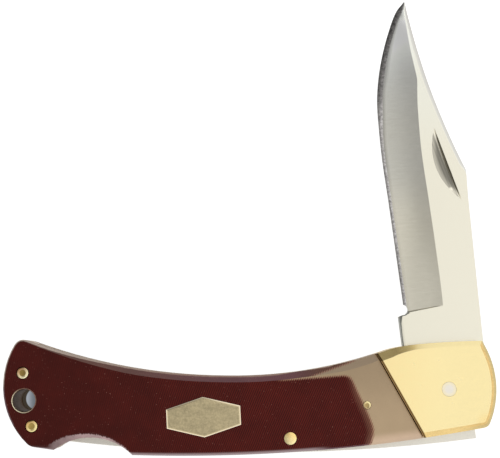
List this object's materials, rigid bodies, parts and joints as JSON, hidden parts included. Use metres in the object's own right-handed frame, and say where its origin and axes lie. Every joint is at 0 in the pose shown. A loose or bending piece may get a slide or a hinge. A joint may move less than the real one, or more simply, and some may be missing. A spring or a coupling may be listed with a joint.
{
  "type": "folding pocket knife",
  "caption": "Lock-back folding pocket knife: clip-point steel blade part open, brass bolsters and liners, dark red scales with a bare shield, and a tube-lined lanyard eye.",
  "frame": {"origin": "on the blade pivot's axis, in the plane of the back face that the knife lies on", "axes": "+Z out of the shield side, +X to the bolster end, +Y to the side that the blade folds out of"},
  "size_m": [0.1269, 0.122, 0.0143],
  "materials": {
    "steel": "satin, with a hollow-ground blade",
    "spring_steel": "plain",
    "brass": "polished, lightly worn",
    "nickel_silver": "satin",
    "micarta": "smooth cloth laminate"
  },
  "bodies": {
    "handle": {"liner_front": "brass", "liner_back": "brass", "butt_spacer": "brass", "back_spring": "spring_steel", "scale_front": "micarta", "scale_back": "micarta", "bolster_front": "brass", "bolster_back": "brass", "pivot_pin": "steel", "lockbar_pin": "brass", "butt_pin_upper": "brass", "butt_pin_lower": "brass", "lanyard_tube": "brass", "scale_pin_front": "brass", "scale_pin_back": "brass", "shield": "nickel_silver", "bolster_rivet_front_upper": "brass", "bolster_rivet_front_lower": "brass", "bolster_rivet_back_upper": "brass", "bolster_rivet_back_lower": "brass"},
    "blade": {"blade": "steel"},
    "lockbar": {"lockbar": "steel"}
  },
  "joints": [
    {"name": "blade_pivot", "type": "hinge", "parent": "handle", "child": "blade", "pos_m": [0, 0, 0.007], "axis": [0, 0, -1], "range_deg": [-84, 85.5]},
    {"name": "lockbar_rock", "type": "hinge", "parent": "handle", "child": "lockbar", "pos_m": [-0.0409, -0.01245, 0.007], "axis": [0, 0, -1], "range_deg": [0, 1.2], "stiffness_Nm_per_rad": 0.5, "springref_deg": -17.19, "deforming": ["back_spring"]}
  ]
}
